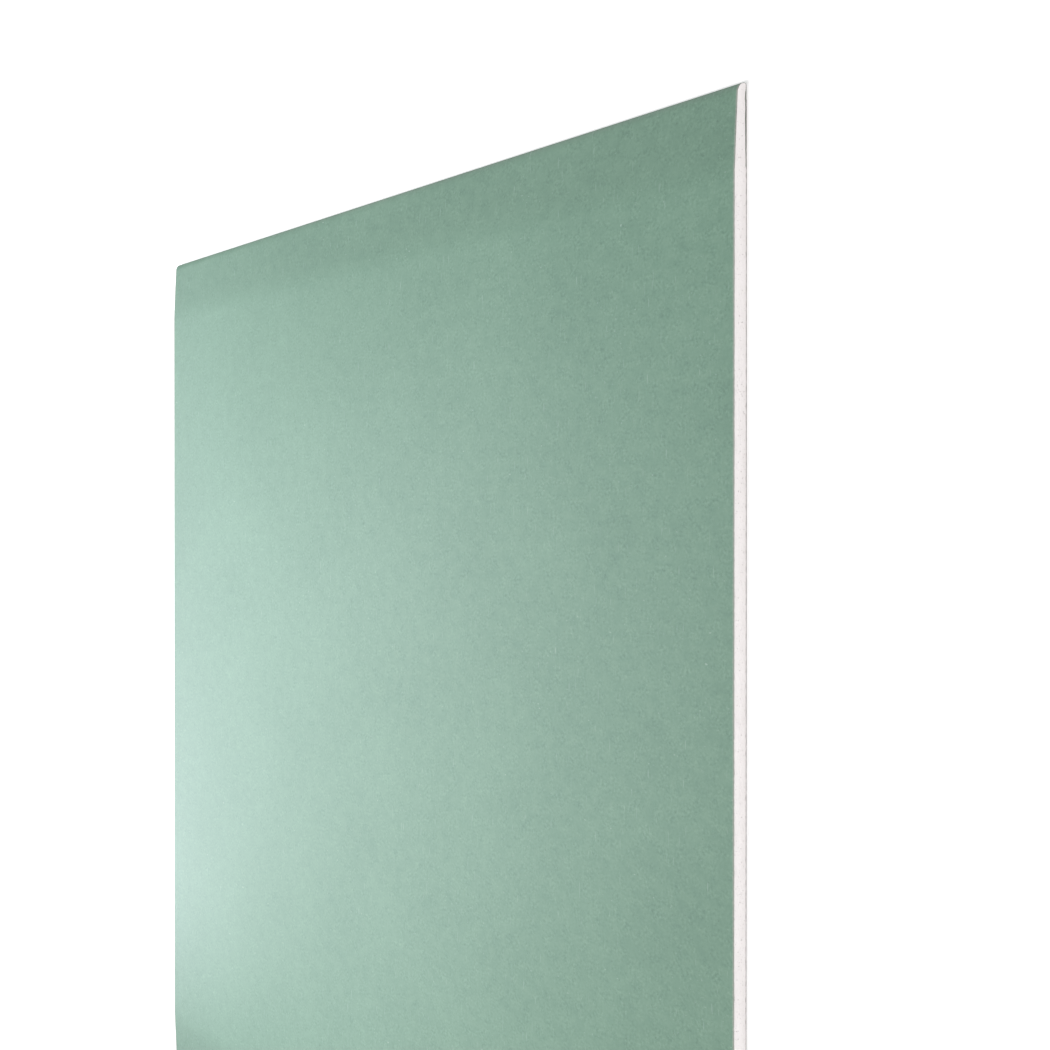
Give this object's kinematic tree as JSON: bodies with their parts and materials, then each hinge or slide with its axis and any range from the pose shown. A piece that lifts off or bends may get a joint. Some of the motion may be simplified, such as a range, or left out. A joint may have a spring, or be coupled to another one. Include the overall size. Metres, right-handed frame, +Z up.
{
  "type": "drywall sheet",
  "caption": "Moisture-resistant plasterboard sheet: gypsum core between green face paper and grey back paper, tapered half-round long edges, square-cut ends.",
  "frame": {"origin": "under the middle of the sheet, in the plane that its back lies on", "axes": "+X along the sheet's length, +Y across its width, +Z up out of the green face"},
  "size_m": [2, 1.25, 0.0125],
  "materials": {
    "gypsum": "matte, porous cast gypsum, bare on the cut ends",
    "green_paper": "smooth, faintly satin green liner",
    "grey_paper": "matte grey recycled liner"
  },
  "bodies": {
    "root": {"gypsum_core": "gypsum", "face_paper": "green_paper", "back_paper": "grey_paper"}
  },
  "joints": []
}
